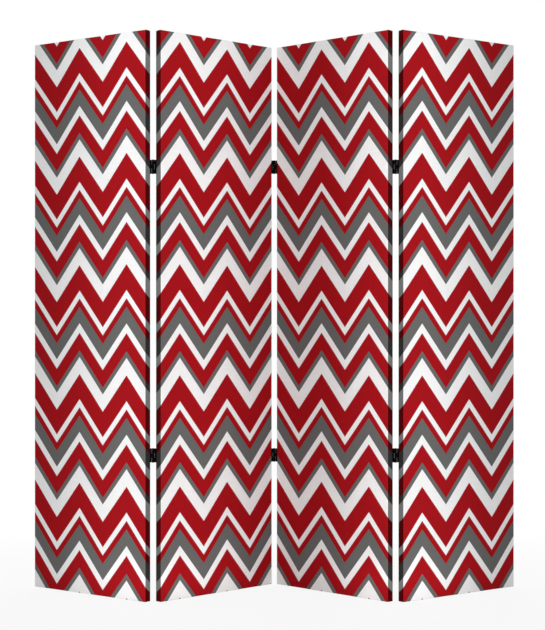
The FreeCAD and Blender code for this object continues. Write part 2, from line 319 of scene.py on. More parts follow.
# %% [markdown]
# ## The front canvas
# The skin is the box's grids without the quads of the slits and of the open back. Its edges
# are rounded and its front gives by the slack. It could be made as two layers, but a Solidify
# modifier gives it its thickness more simply, inwards on to the wood.

# %% Front canvases
ON_FACE = CLOTH / 10  # points this close to a face lie on it
SKIN_SHARE = 0.9  # of the cloth's thickness, so that the skin stays clear of the wood


def part_points(panel, part):
    """The points of one of the panel's CAD nodes, in the panel's own axes."""
    return in_panel(panel, node_points(f"{panel.body}_{part}"))


def thicken(piece, thickness, offset):
    """Give a skin its thickness, inwards with offset -1 and outwards with 1."""
    solidify = piece.modifiers.new("thickness", "SOLIDIFY")
    solidify.thickness = thickness
    solidify.offset = offset


def front_canvas(panel):
    """Canvas over the front and edges of a panel, folded on to its back."""
    skin = part_points(panel, "front_canvas")
    low, high = skin.min(0), skin.max(0)
    cuts = slits(panel)
    window = high - CLOTH - RETURN_WIDTH
    slit_heights = [z for *_, heights in cuts for z in heights]
    lines = [
        edge_lines(low[0], high[0], EDGE_RADIUS, [-window[0], window[0]]),
        edge_lines(low[1], high[1], EDGE_RADIUS, [depth for _, _, depth, _ in cuts]),
        edge_lines(low[2], high[2], EDGE_RADIUS, [panel.height - window[2], window[2]] + slit_heights),
    ]
    quads, sides = box_quads(lines)
    across, deep, up = quads.mean(1).T
    off_middle = abs(up - panel.height / 2)
    gone = (sides == BACK) & (abs(across) < window[0]) & (off_middle < window[2] - panel.height / 2)
    for end, face, depth, (foot, head) in cuts:
        at_edge = end * across > panel.half_width - EDGE_RADIUS
        gone |= at_edge & (face * deep > face * depth) & (up > foot) & (up < head)
    quads, sides = quads[~gone], sides[~gone]
    points, faces = weld(quads)
    on_front = points[:, 1] < low[1] + ON_FACE
    shaped = rounded(points, low, high, EDGE_RADIUS)
    shaped[on_front, 1] += slack(panel, points[on_front])
    flat = unrolled(panel, quads, sides, low, high)
    piece = make_piece(f"canvas_front_{panel.number}", in_frame(panel, shaped), faces, panel.body,
                       flat)
    thicken(piece, SKIN_SHARE * CLOTH, -1)
    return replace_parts(piece, f"{panel.body}_front_canvas")


front_canvases = [front_canvas(panel) for panel in PANELS]
print(len(front_canvases), "front canvases of", len(front_canvases[0].data.polygons), "faces")

# %% [markdown]
# ## Folded corners
# At a corner there is more cloth than edge to cover. It is folded over like the corner of a
# parcel, which leaves a triangle lying on the top edge with its crease at 45 degrees. A panel's
# two triangles are one small piece, on the grid P(s, t) = A + s (B - A) + s t (C - B).

# %% Corner folds
FOLD_STEPS = 8
FOLD_LIFT = 0.0002


def joined(parts):
    """Several (points, faces) as one."""
    points, faces = [], []
    for more_points, more_faces in parts:
        first = sum(map(len, points))
        points.append(more_points)
        faces.extend([k + first for k in face] for face in more_faces)
    return np.vstack(points), faces


def triangle_grid(a, b, c, steps):
    """Points A + s (B - A) + s t (C - B) on a grid, and its faces; the row s = 0 is one point."""
    s, t = np.meshgrid(np.linspace(0, 1, steps + 1)[1:], np.linspace(0, 1, steps + 1), indexing="ij")
    s, t = s[..., None], t[..., None]
    points = (a + s * (b - a) + s * t * (c - b)).reshape(-1, 3)
    row = steps + 1
    corner = (np.arange(steps - 1)[:, None] * row + np.arange(steps)).ravel()
    quads = np.column_stack([corner, corner + row, corner + row + 1, corner + 1]).tolist()
    tip = [[len(points), k, k + 1] for k in range(steps)]
    return np.vstack([points, a]), quads + tip


def corner_folds(panel):
    """A folded triangle at each end of the panel's top edge."""
    depths = part_points(panel, "front_canvas")[:, 1]
    near, far = depths.min() + EDGE_RADIUS, depths.max() - EDGE_RADIUS
    height = panel.height + FOLD_LIFT
    end = panel.half_width - EDGE_RADIUS
    parts, flat = [], []
    for side in (-1, 1):
        a = np.array([side * end, near, height])
        b = np.array([side * end, far, height])
        c = np.array([side * (end - (far - near)), far, height])
        grid, faces = triangle_grid(a, b, c, FOLD_STEPS)
        faces = faces if side > 0 else [face[::-1] for face in faces]
        turned_over = from_first_peak(panel, 2 * side * panel.half_width - grid[:, 0])
        spread = np.column_stack([turned_over, panel.height + grid[:, 1] - near])
        flat.append(spread[np.concatenate(faces)])
        parts.append((grid, faces))
    points, faces = joined(parts)
    piece = make_piece(f"canvas_corner_folds_{panel.number}", in_frame(panel, points), faces, panel.body,
                       np.vstack(flat))
    thicken(piece, CLOTH, 1)
    return piece


folds = [corner_folds(panel) for panel in PANELS]
print(len(folds), "pairs of corner folds")

# %% [markdown]
# ## The back canvas
# The back is closed by a second, hemmed canvas that lies on the folded front one. It is the
# same rounded box, very thin. Inside the hem there is one layer instead of two, so there the
# face lies lower by a fraction of a millimetre, with a soft step at the hem's inner edge.

# %% Back canvases
HEM_WIDTH = 0.010
HEM_STEP = 0.0004
HEM_BLEND = 0.002
HEM_ROUND = 0.45  # radius of the folded edge, as a share of the sheet's thickness


def smooth_step(x):
    """0 below 0, 1 above 1, and 3 x^2 - 2 x^3 between."""
    x = np.clip(x, 0, 1)
    return x * x * (3 - 2 * x)


def back_canvas(panel):
    """A thin hemmed sheet on the back of a panel."""
    sheet = part_points(panel, "back_canvas")
    low, high = sheet.min(0), sheet.max(0)
    radius = HEM_ROUND * (high[1] - low[1])
    hem = HEM_WIDTH + HEM_BLEND * np.array([-0.5, 0, 0.5])
    across, up = (edge_lines(low[k], high[k], radius, np.append(low[k] + hem, high[k] - hem)) for k in (0, 2))
    depths = np.array([low[1], (low[1] + high[1]) / 2, high[1]])
    quads, _ = box_quads([across, depths, up])
    points, faces = weld(quads)
    shaped = rounded(points, low, high, radius)
    inward = np.minimum(points - low, high - points)[:, [0, 2]].min(1)
    on_face = points[:, 1] > high[1] - ON_FACE
    step = HEM_STEP * smooth_step((inward - HEM_WIDTH) / HEM_BLEND + 0.5)
    shaped[on_face, 1] -= step[on_face]
    flat = np.stack([from_first_peak(panel, quads[..., 0]), quads[..., 2]], axis=2)
    piece = make_piece(f"canvas_back_{panel.number}", in_frame(panel, shaped), faces, panel.body,
                       flat)
    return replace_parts(piece, f"{panel.body}_back_canvas")


back_canvases = [back_canvas(panel) for panel in PANELS]
print(len(back_canvases), "back canvases of", len(back_canvases[0].data.polygons), "faces")

# %% [markdown]
# ## One stitch
# A hem is sewn, and the row of stitches shows from behind. One stitch is a spindle: its radius
# is r sin t at -l cos t along the seam. A stretched ball would do, but there are thousands of
# stitches, so each has only a few faces. A spindle is rings of points with a tip at each end,
# and so is a hinge pin, so one helper makes the faces of both.

# %% One stitch
STITCH_LENGTH = 0.003
STITCH_RADIUS = 0.00028
STITCH_SIDES = 6
STITCH_RINGS = 3


def tipped_rings(rows, sides):
    """Quads between rings of points, and triangles from the end rings to a tip each.

    The points are the rings in order, then the first tip and the last. The faces look outward
    where the rings turn anticlockwise seen from the last tip.
    """
    around = np.arange(sides)
    after = np.roll(around, -1)
    row = np.arange(rows - 1)[:, None] * sides
    quads = np.stack([row + around, row + after, row + sides + after, row + sides + around], axis=2)
    last_ring = (rows - 1) * sides
    tip = np.full(sides, rows * sides)
    first_fan = np.column_stack([tip, after, around])
    last_fan = np.column_stack([tip + 1, last_ring + around, last_ring + after])
    return quads.reshape(-1, 4), np.vstack([first_fan, last_fan])


def spindle(half_length, radius):
    """Rings of points (-l cos t, r sin t cos s, r sin t sin s), then a tip at each end."""
    t = np.linspace(0, np.pi, STITCH_RINGS + 2)[1:-1, None]
    s = np.linspace(0, 2 * np.pi, STITCH_SIDES, endpoint=False)
    rings = np.stack([-half_length * np.cos(t) + 0 * s, radius * np.sin(t) * np.cos(s),
                      radius * np.sin(t) * np.sin(s)], axis=2).reshape(-1, 3)
    return np.vstack([rings, [[-half_length, 0, 0], [half_length, 0, 0]]])


stitch = spindle(STITCH_LENGTH / 2, STITCH_RADIUS)
print("a stitch of", len(stitch), "points")

# %% [markdown]
# ## Stitches round the hem
# The stitches follow each other along the four sides of the hem. Placing each as an object would
# be slow. Broadcasting adds every stitch's place and direction to the one shape, so a thousand
# stitches are a single array sum and a single mesh.

# %% Hem stitches
STITCH_PITCH = 0.004
STITCH_SUNK = 0.25  # of its radius, into the cloth
STITCH_INSET = 0.007  # from the hem's folded edge


def seam(corner_a, corner_b):
    """Middles of the stitches between two corners, and the direction that they run in."""
    run = corner_b - corner_a
    length = np.linalg.norm(run)
    count = int(length / STITCH_PITCH)
    share = (np.arange(count) + 0.5) / count
    return corner_a + share[:, None] * run, np.tile(run / length, (count, 1))


def hem_stitches(panel):
    """A row of stitches along the four sides of a back canvas."""
    sheet = part_points(panel, "back_canvas")
    low, high = sheet.min(0) + STITCH_INSET, sheet.max(0) - STITCH_INSET
    face = sheet[:, 1].max() - STITCH_SUNK * STITCH_RADIUS
    corners = np.array([[low[0], face, low[2]], [high[0], face, low[2]],
                        [high[0], face, high[2]], [low[0], face, high[2]]])
    seams = [seam(a, b) for a, b in zip(corners, np.roll(corners, -1, axis=0))]
    middles, runs = (np.concatenate(part) for part in zip(*seams))
    out = np.tile([0.0, 1.0, 0.0], (len(runs), 1))
    axes = np.stack([runs, np.cross(out, runs), out], axis=1)
    points = (middles[:, None] + stitch @ axes).reshape(-1, 3)
    starts = (np.arange(len(middles)) * len(stitch))[:, None, None]
    quads, tips = tipped_rings(STITCH_RINGS, STITCH_SIDES)
    faces = (starts + quads).reshape(-1, 4).tolist() + (starts + tips).reshape(-1, 3).tolist()
    return make_piece(f"hem_stitches_{panel.number}", in_frame(panel, points), faces, panel.body)


stitches = [hem_stitches(panel) for panel in PANELS]
print(len(stitches), "seams of", len(stitches[0].data.polygons), "faces")

# %% [markdown]
# The canvases are sheets with a real cut size. The front one goes round the edges and on to
# the back, so its flat size is the panel's plus two depths and two returns each way, and half of
# each corner square is trimmed off before the corner is folded. Here only the back one's size is
# worked out: its width and height, with room for its hem.

# %% Sheets
for panel, front, fold, back, sewn in zip(PANELS, front_canvases, folds, back_canvases, stitches):
    hemmed = (np.ptp(part_points(panel, "back_canvas"), axis=0) + 2 * HEM_WIDTH)[[0, 2]]

# %% [markdown]
# ## Hinge leaves
# A leaf is stamped from plate, with knuckles rolled round the pin. As on the CAD leaf, the
# plate's own strip turns most of the way round and stops short of itself; here it has more
# facets and soft edges. The sizes are measured from the CAD leaf, so the piece sits where that
# does, and the enamel adds a little to the plate's edge beside the knuckles.

# %% Rolled leaves
PLATE_ONLY = 0.7  # of a leaf's reach; past this there is only plate
AT_EYE = 1.02  # of the eye's radius; points nearer than this are on the eye
PAST_KNUCKLE = 1.03  # of the knuckle's radius; points further than this are on the plate
ROLL_TURN = 296.0  # degrees, from the plate round to the open seam
ROLL_STEPS = 40
LEAF_BEVEL = 0.00015
BEVEL_STEPS = 2
ENAMEL = 0.0002  # builds up on a plate's edge beside the knuckles


def extruded(outline, low, high):
    """A closed prism: an anticlockwise outline (n, 2) carried from low to high, with two caps."""
    count = len(outline)
    ring = np.arange(count)
    after = np.roll(ring, -1)
    levels = [np.column_stack([outline, np.full(count, z)]) for z in (low, high)]
    sides = np.column_stack([ring, after, after + count, ring + count]).tolist()
    return np.vstack(levels), sides + [ring[::-1].tolist(), (ring + count).tolist()]


def rolled_section(eye, knuckle, reach):
    """A strip from x = reach to the pin, then round it: radii eye and knuckle over the turn."""
    angle = np.radians(-90 - np.linspace(0, ROLL_TURN, ROLL_STEPS))
    ring = np.column_stack([np.cos(angle), np.sin(angle)])
    outline = [[(reach, -knuckle)], knuckle * ring, eye * ring[::-1], [(reach, -eye)]]
    return np.concatenate(outline)[::-1]


def fold_of(node):
    """The joint that a hinge node belongs to."""
    return next(joint for joint in frame["joints"] if node.startswith(joint["name"]))


def leaf_piece(panel, node):
    """A rolled leaf: its plate, and a rolled strip for each of its knuckles."""
    pin = np.array(fold_of(node)["pos_m"])
    offset = (node_points(node) - pin) @ panel.axes.T
    towards = np.sign(offset[:, 0].mean())
    plate_side = offset[abs(offset[:, 0]) > PLATE_ONLY * abs(offset[:, 0]).max(), 1].mean()
    out = -np.sign(plate_side)
    x, y, z = (offset * [towards, out, 1]).T
    radius = np.hypot(x, y)
    eye, knuckle, reach = radius.min(), -y.min(), x.max()
    shoulder = x[radius > PAST_KNUCKLE * knuckle].min() - ENAMEL
    rims = np.unique(z[radius < AT_EYE * eye].round(CAD_DECIMALS)).reshape(-1, 2)
    plate = np.array([(shoulder, -knuckle), (reach, -knuckle), (reach, -eye), (shoulder, -eye)])
    section = rolled_section(eye, knuckle, shoulder + eye)
    points, faces = joined([extruded(plate, z.min(), z.max())] + [extruded(section, *rim) for rim in rims])
    if towards * out < 0:
        faces = [face[::-1] for face in faces]
    local = points * [towards, out, 1]
    piece = make_piece(node + "_rolled", local @ panel.axes + pin, faces, panel.body)
    bevel = piece.modifiers.new("soft_edges", "BEVEL")
    bevel.width = LEAF_BEVEL
    bevel.segments = BEVEL_STEPS
    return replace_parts(piece, node)


hinges = [leaf_piece(panel, node) for panel in PANELS for node in leaves_on(panel)]
print(len(hinges), "leaves")

# %% [markdown]
# ## Hinge pins
# A pin is cut from rod and its ends are domed. A bevelled cylinder would come close; carrying
# the pin's own profile round the axis gives the dome exactly, with closed ends.

# %% Turned pins
PIN_DOME = 0.0006
PIN_DOME_STEPS = 5
PIN_SIDES = 32


def pin_piece(node, body):
    """A turned pin: radius R along its length, and an elliptic dome of height h at each end."""
    points = node_points(node)
    low, high = points.min(0), points.max(0)
    centre, radius = (low + high) / 2, (high - low)[0] / 2
    lean = np.linspace(0, np.pi / 2, PIN_DOME_STEPS + 1)[1:]
    dome = np.column_stack([radius * np.sin(lean), PIN_DOME * (1 - np.cos(lean))])
    profile = np.vstack([dome + [0, low[2]], dome[::-1] * [1, -1] + [0, high[2]]])
    around = np.linspace(0, 2 * np.pi, PIN_SIDES, endpoint=False)
    rings = np.stack([profile[:, :1] * np.cos(around), profile[:, :1] * np.sin(around),
                      np.repeat(profile[:, 1:], PIN_SIDES, axis=1)], axis=2).reshape(-1, 3)
    tips = np.array([[0, 0, low[2]], [0, 0, high[2]]])
    quads, caps = tipped_rings(len(profile), PIN_SIDES)
    piece = make_piece(node + "_turned", np.vstack([rings, tips]) + centre * [1, 1, 0],
                       quads.tolist() + caps.tolist(), body)
    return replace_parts(piece, node)


for body, nodes in BODIES.items():
    hinges += [pin_piece(node, body) for node in nodes if node.endswith("_pin")]
print(len(hinges), "leaves and pins")

# %% [markdown]
# ## Small helpers for node trees
# Materials below are node trees. One helper adds a node, sets its properties and links or sets
# its inputs; another makes a group with named sockets, so that an effect can be placed in
# several materials with its own values.

# %% Node helpers


def add(tree, kind, inputs=None, **settings):
    """A new node; settings are its properties, inputs are values or sockets to link."""
    node = tree.nodes.new(kind)
    for key, value in settings.items():
        setattr(node, key, value)
    for key, value in (inputs or {}).items():
        if isinstance(value, bpy.types.NodeSocket):
            tree.links.new(value, node.inputs[key])
        else:
            node.inputs[key].default_value = value
    return node


def calc(tree, operation, a, b=0.0, c=0.0):
    """The output of one Math node."""
    return add(tree, "ShaderNodeMath", {0: a, 1: b, 2: c}, operation=operation).outputs[0]


def new_group(name, inputs, outputs):
    """A shader node group with named sockets, and its input and output nodes' sockets."""
    group = bpy.data.node_groups.new(name, "ShaderNodeTree")
    for label, kind, start in inputs:
        socket = group.interface.new_socket(label, in_out="INPUT", socket_type=kind)
        if start is not None:
            socket.default_value = start
    for label, kind in outputs:
        group.interface.new_socket(label, in_out="OUTPUT", socket_type=kind)
    given = group.nodes.new("NodeGroupInput").outputs
    result = group.nodes.new("NodeGroupOutput").inputs
    return group, given, result


def use(tree, group, inputs):
    """The outputs of a group placed in a tree."""
    return add(tree, "ShaderNodeGroup", inputs, node_tree=group).outputs


def new_material(name, **values):
    """A material, its tree and its shader's inputs, with plain values set on the shader."""
    material = bpy.data.materials.new(name)
    material.use_nodes = True
    shader = material.node_tree.nodes["Principled BSDF"]
    for key, value in values.items():
        shader.inputs[key.replace("_", " ")].default_value = value
    return material, material.node_tree, shader.inputs


print("node trees of Blender", bpy.app.version_string)

# %% [markdown]
# ## Inks and bands
# The print has two inks, red and grey, on cloth that is left white. Their colours are judged as
# a screen shows them, while a shader works in linear light, so a helper converts them. The bands
# follow each other down the cloth, and after the last one the first comes again.

# %% Inks and bands


def ink(red, green, blue):
    """A linear colour from three display values of 0 to 255, by the sRGB curve."""
    share = np.array([red, green, blue]) / 255
    linear = np.where(share <= 0.04045, share / 12.92, ((share + 0.055) / 1.055) ** 2.4)
    return (*linear.tolist(), 1.0)


RED = ink(160, 19, 26)
GREY = ink(102, 102, 101)
WHITE = ink(241, 241, 241)
BANDS = [  # going down from a red peak
    (RED, 0.0839),
    (WHITE, 0.0259),
    (RED, 0.0284),
    (GREY, 0.0529),
    (WHITE, 0.0317),
    (RED, 0.0581),
    (GREY, 0.0219),
    (WHITE, 0.0561),
]
REPEAT = sum(width for _, width in BANDS)
print(len(BANDS), "bands repeat every", round(REPEAT, 4), "m")

# %% [markdown]
# ## The chevron
# The bands run in a zigzag. Drawing each would take a hundred shapes. Instead the zigzag is
# taken out of the height: going sideways, a ping-pong wave says how far the bands have dropped
# since the last peak, and what is left counts down through one repeat, which a colour ramp
# paints band by band. Where the cloth goes round an end, the print is stretched, and its colour
# is darkened there as painted shade of the end faces, so the place beyond the face's edge sets both.

# %% Chevron print
PEAK_SPACING = 0.2127
PEAK_RISE = 0.121
FIRST_PEAK = 0.0293  # from the panel's top down to the first red peak
BLEED = 0.0004  # soft edge of an ink
WRAP_STRETCH = 0.72  # share of the zigzag that the print advances where it goes round an end
# painted shade: the end faces' colour is darkened to this share, standing in for the shadow of sides turned from
# the light
END_PAINTED_SHADE = 0.20  # share of the colour that is left there


def scaled(tree, colour, tone):
    """A colour times a tone."""
    return add(tree, "ShaderNodeVectorMath", {0: colour, "Scale": tone}, operation="SCALE").outputs[0]


def band_ramp(tree, share):
    """A ramp through one repeat of the bands, with a soft edge of BLEED between two inks."""
    ramp = add(tree, "ShaderNodeValToRGB", {0: share})
    soft = BLEED / REPEAT
    place = 0.0
    stops = []
    for colour, width in BANDS:
        stops += [(place + soft, colour), (place + width / REPEAT - soft, colour)]
        place += width / REPEAT
    first, last = ramp.color_ramp.elements
    first.position, first.color = stops[0]
    last.position, last.color = stops[-1]
    for position, colour in stops[1:-1]:
        ramp.color_ramp.elements.new(position).color = colour
    return ramp.outputs["Color"]


def chevron_group(width, height):
    """The print as a colour, darkened on the end faces as painted shade, from a flat place measured from the first
    peak and the floor.
    """
    group, given, result = new_group("chevron_print", [("Place", "NodeSocketVector", None)],
                                     [("Color", "NodeSocketColor"), ("Ink", "NodeSocketFloat")])
    x, y, _ = add(group, "ShaderNodeSeparateXYZ", {0: given["Place"]}).outputs
    on_face = calc(group, "MINIMUM", calc(group, "MAXIMUM", x, 0.0), width)
    beyond = calc(group, "SUBTRACT", x, on_face)
    along = calc(group, "MULTIPLY_ADD", beyond, WRAP_STRETCH, on_face)
    drop = calc(group, "PINGPONG", along, PEAK_SPACING / 2)
    down = calc(group, "SUBTRACT", height - FIRST_PEAK, y)
    down = calc(group, "MULTIPLY_ADD", drop, -2 * PEAK_RISE / PEAK_SPACING, down)
    share = calc(group, "DIVIDE", calc(group, "FLOORED_MODULO", down, REPEAT), REPEAT)
    colour = band_ramp(group, share)
    # painted shade: beyond a face's edge, on the end faces below the top, the print's colour is darkened
    past = calc(group, "GREATER_THAN", calc(group, "ABSOLUTE", beyond), 0.0)
    below_top = calc(group, "LESS_THAN", y, height)
    painted_shade_mask = calc(group, "MULTIPLY", past, below_top)
    tone = calc(group, "MULTIPLY_ADD", painted_shade_mask, END_PAINTED_SHADE - 1, 1.0)
    group.links.new(scaled(group, colour, tone), result["Color"])
    green = add(group, "ShaderNodeSeparateColor", {0: colour}).outputs["Green"]
    group.links.new(calc(group, "MULTIPLY_ADD", green, -1 / WHITE[1], 1.0), result["Ink"])
    return group


chevron = chevron_group(2 * PANELS[0].half_width, PANELS[0].height)
print("chevron group with", len(chevron.nodes), "nodes")

# %% [markdown]
# ## Canvas weave
# Close to, canvas is threads going over and under each other: sin x times sin y over the thread
# pitch gives that chequer of small hills. From further off, what shows is the uneven thread, so
# two stretched noises add thick and thin threads each way. One group gives the height for a
# bump and a tone that varies the colour.

# %% Weave group
THREAD = 0.0008
SLUB = 0.12  # how far uneven threads vary the tone
STREAK_STRETCH = 0.02  # share of the place along a thread, which draws the noise out
STREAKS = 0.5  # noise periods to a thread
HILL_HEIGHT = 0.3
STREAK_HEIGHT = 0.4


def stretched(tree, place, shares):
    """A place times a share for each axis."""
    return add(tree, "ShaderNodeVectorMath", {0: place, 1: shares}, operation="MULTIPLY").outputs[0]


def noise(tree, place, scale, detail=2.0, **settings):
    """Noise about 0.5, with scale periods to the metre."""
    inputs = {"Vector": place, "Scale": scale, "Detail": detail}
    return add(tree, "ShaderNodeTexNoise", inputs, **settings).outputs[0]


def weave_group():
    """Plain weave: a height about 0.5, and a tone near 1 that follows uneven threads."""
    group, given, result = new_group(
        "plain_weave",
        [("Place", "NodeSocketVector", None), ("Thread", "NodeSocketFloat", THREAD),
         ("Slub", "NodeSocketFloat", SLUB)],
        [("Height", "NodeSocketFloat"), ("Tone", "NodeSocketFloat")])
    place, thread, slub = given["Place"], given["Thread"], given["Slub"]
    x, y, _ = add(group, "ShaderNodeSeparateXYZ", {0: place}).outputs
    turns = calc(group, "DIVIDE", np.pi, thread)
    over = calc(group, "SINE", calc(group, "MULTIPLY", x, turns))
    under = calc(group, "SINE", calc(group, "MULTIPLY", y, turns))
    hills = calc(group, "MULTIPLY", over, under)
    fine = calc(group, "DIVIDE", STREAKS, thread)
    threads = []
    for shares in ((1, STREAK_STRETCH, 1), (STREAK_STRETCH, 1, 1)):
        streaks = noise(group, stretched(group, place, shares), fine, noise_dimensions="2D")
        threads.append(calc(group, "SUBTRACT", streaks, 0.5))
    uneven = calc(group, "ADD", *threads)
    height = calc(group, "MULTIPLY_ADD", hills, HILL_HEIGHT, 0.5)
    group.links.new(calc(group, "MULTIPLY_ADD", uneven, STREAK_HEIGHT, height), result["Height"])
    group.links.new(calc(group, "MULTIPLY_ADD", uneven, slub, 1.0), result["Tone"])
    return group


weave = weave_group()
print("weave group with", len(weave.nodes), "nodes")

# %% [markdown]
# ## Printed canvas
# Print and weave meet in one material, read through the cloth's own flat map. Ink fills the
# cloth a little, so a printed band is slightly smoother than bare white. The sewing thread is
# plain cotton, and has no flat map, so its tone varies with the place on the object.

# %% Canvas materials
WEAVE_DEPTH = 0.00025
WEAVE_STRENGTH = 0.5
BARE_ROUGHNESS = 0.88
INK_SMOOTHING = 0.14  # taken from the roughness under full ink
THREAD_TWIST = 900.0  # noise periods to the metre
THREAD_DARK, THREAD_PALE = ink(178, 176, 172), ink(226, 225, 222)


def bumped(tree, height, strength, distance):
    """A normal that follows a height."""
    inputs = {"Height": height, "Strength": strength, "Distance": distance}
    return add(tree, "ShaderNodeBump", inputs).outputs[0]


def object_place(tree):
    """The place on the object, in metres."""
    return add(tree, "ShaderNodeTexCoord").outputs["Object"]


def printed_canvas():
    """Matt cotton with the chevron print."""
    material, tree, shader = new_material("printed_canvas", Specular_IOR_Level=0.03)
    place = add(tree, "ShaderNodeUVMap", uv_map=PRINT_MAP).outputs[0]
    printed = use(tree, chevron, {"Place": place})
    woven = use(tree, weave, {"Place": place, "Thread": THREAD, "Slub": SLUB})
    tree.links.new(scaled(tree, printed["Color"], woven["Tone"]), shader["Base Color"])
    roughness = calc(tree, "MULTIPLY_ADD", printed["Ink"], -INK_SMOOTHING, BARE_ROUGHNESS)
    tree.links.new(roughness, shader["Roughness"])
    tree.links.new(bumped(tree, woven["Height"], WEAVE_STRENGTH, WEAVE_DEPTH), shader["Normal"])
    return material


def hem_thread():
    """Off-white cotton thread, twisted: a fine tone along the seam."""
    material, tree, shader = new_material("hem_thread", Roughness=0.8)
    ramp = add(tree, "ShaderNodeValToRGB", {0: noise(tree, object_place(tree), THREAD_TWIST)})
    ramp.color_ramp.elements[0].color = THREAD_DARK
    ramp.color_ramp.elements[1].color = THREAD_PALE
    tree.links.new(ramp.outputs[0], shader["Base Color"])
    return material


canvas, thread = printed_canvas(), hem_thread()
for piece in front_canvases + folds + back_canvases:
    piece.data.materials.append(canvas)
for piece in stitches:
    piece.data.materials.append(thread)
print("canvas on", len(front_canvases + folds + back_canvases), "pieces")

# %% [markdown]
# ## Hinge enamel
# The hinges are dipped in black enamel: satin, a little uneven, rubbed paler in places. One
# noise gives the fine unevenness as a bump, and a broader one both the rubbed patches and the
# roughness, so that a rubbed place is also a duller one.

# %% Hinge enamel
ENAMEL_BLACK, ENAMEL_RUBBED = ink(4, 4, 5), ink(15, 15, 14)
PEEL_SCALE = 700.0  # noise periods to the metre
PEEL_STRENGTH, PEEL_DEPTH = 0.15, 0.0002
RUB_SCALE = 90.0  # noise periods to the metre
RUB_FROM, RUB_TO = 0.62, 0.78  # noise at which a rubbed patch starts, and is full
SATIN, SATIN_VARIES = 0.50, 0.30  # roughness, and what the rub noise adds


def blend(tree, share, a, b):
    """From colour a to colour b."""
    return add(tree, "ShaderNodeMix", {"Factor": share, "A": a, "B": b}, data_type="RGBA").outputs["Result"]


def enamel():
    """Satin black enamel with a faint orange peel and rubbed patches."""
    material, tree, shader = new_material("hinge_enamel", Specular_IOR_Level=0.04)
    place = object_place(tree)
    peel = noise(tree, place, PEEL_SCALE, detail=1.0)
    rub = noise(tree, place, RUB_SCALE, detail=6.0)
    worn = add(tree, "ShaderNodeMapRange", {0: rub, 1: RUB_FROM, 2: RUB_TO}).outputs[0]
    tree.links.new(blend(tree, worn, ENAMEL_BLACK, ENAMEL_RUBBED), shader["Base Color"])
    tree.links.new(calc(tree, "MULTIPLY_ADD", rub, SATIN_VARIES, SATIN), shader["Roughness"])
    tree.links.new(bumped(tree, peel, PEEL_STRENGTH, PEEL_DEPTH), shader["Normal"])
    return material


black = enamel()
for piece in hinges:
    piece.data.materials.append(black)
print("enamel on", len(hinges), "pieces")

# %% [markdown]
# ## Bare wood
# Inside the canvas are pine bars and beech biscuits. Grain runs along a bar, so the noise is
# stretched along the bar's own direction, which a Mapping node turns with the panel. Pine and
# beech share one grain, built once as a group.

# %% Bare wood
GRAIN_STRETCH = 0.04  # share of the place along the grain, which draws the noise out
RING_SCALE, PORE_SCALE = 160.0, 1800.0  # noise periods to the metre
RING_SHARE, PORE_SHARE = 0.7, 0.3
GRAIN_STRENGTH, GRAIN_DEPTH = 0.2, 0.0003
PLANED, PLANED_VARIES = 0.5, 0.2  # roughness, and what the grain adds
PINE = ink(226, 190, 142), ink(186, 136, 84)  # pale and dark
BEECH = ink(222, 186, 148), ink(190, 148, 112)


def grain_group():
    """Long grain along Z: a value from 0 to 1 with growth rings and fine pores."""
    group, given, result = new_group("long_grain", [("Place", "NodeSocketVector", None),
                                                    ("Rings", "NodeSocketFloat", RING_SCALE)],
                                     [("Grain", "NodeSocketFloat")])
    drawn_out = stretched(group, given["Place"], (1, 1, GRAIN_STRETCH))
    wavy = {"Vector": drawn_out, "Scale": given["Rings"], "Detail": 4.0, "Distortion": 0.6}
    rings = add(group, "ShaderNodeTexNoise", wavy).outputs[0]
    pores = noise(group, drawn_out, PORE_SCALE)
    grain = calc(group, "MULTIPLY_ADD", pores, PORE_SHARE, calc(group, "MULTIPLY", rings, RING_SHARE))
    group.links.new(grain, result["Grain"])
    return group


long_grain = grain_group()


def bare_wood(name, pale, dark, turn, lying):
    """Planed wood with its grain along Z, or along the panel's width where the bar is lying."""
    material, tree, shader = new_material(name)
    upright = add(tree, "ShaderNodeMapping", {"Vector": object_place(tree), "Rotation": (0, 0, -turn)})
    along = add(tree, "ShaderNodeMapping", {"Vector": upright.outputs[0],
                                            "Rotation": (0, np.pi / 2 * lying, 0)})
    grain = use(tree, long_grain, {"Place": along.outputs[0]})["Grain"]
    tree.links.new(blend(tree, grain, dark, pale), shader["Base Color"])
    tree.links.new(calc(tree, "MULTIPLY_ADD", grain, PLANED_VARIES, PLANED), shader["Roughness"])
    tree.links.new(bumped(tree, grain, GRAIN_STRENGTH, GRAIN_DEPTH), shader["Normal"])
    return material


print("grain group with", len(long_grain.nodes), "nodes")

# %% [markdown]
# ## Zinc wire, and dressing the inside
# Brads and staples are zinc-plated wire: bright metal with a cloudy bloom. The inner pieces keep
# their CAD shapes, so each only takes its finish in place of the plain one. The wood's finishes
# are made for each panel, because the grain turns with it.

# %% Wood and wire
BRAD_CLOUDS, STAPLE_CLOUDS = 400.0, 600.0  # noise periods to the metre
ZINC_TONE, ZINC_CLOUD = 0.85, 0.3  # tone, and what the clouding adds
ZINC_ROUGHNESS, ZINC_VARIES = 0.2, 0.3  # roughness, and what the clouding adds


def plated_wire(name, colour, scale):
    """Zinc-plated steel: bright metal, clouded."""
    material, tree, shader = new_material(name, Metallic=1.0)
    cloud = noise(tree, object_place(tree), scale, detail=3.0)
    tone = calc(tree, "MULTIPLY_ADD", cloud, ZINC_CLOUD, ZINC_TONE)
    tree.links.new(scaled(tree, colour[:3], tone), shader["Base Color"])
    tree.links.new(calc(tree, "MULTIPLY_ADD", cloud, ZINC_VARIES, ZINC_ROUGHNESS), shader["Roughness"])
    return material


def dress(node, material):
    """Give a CAD node one material in place of its plain one."""
    mesh = frame["nodes"][node].data
    mesh.materials.clear()
    mesh.materials.append(material)


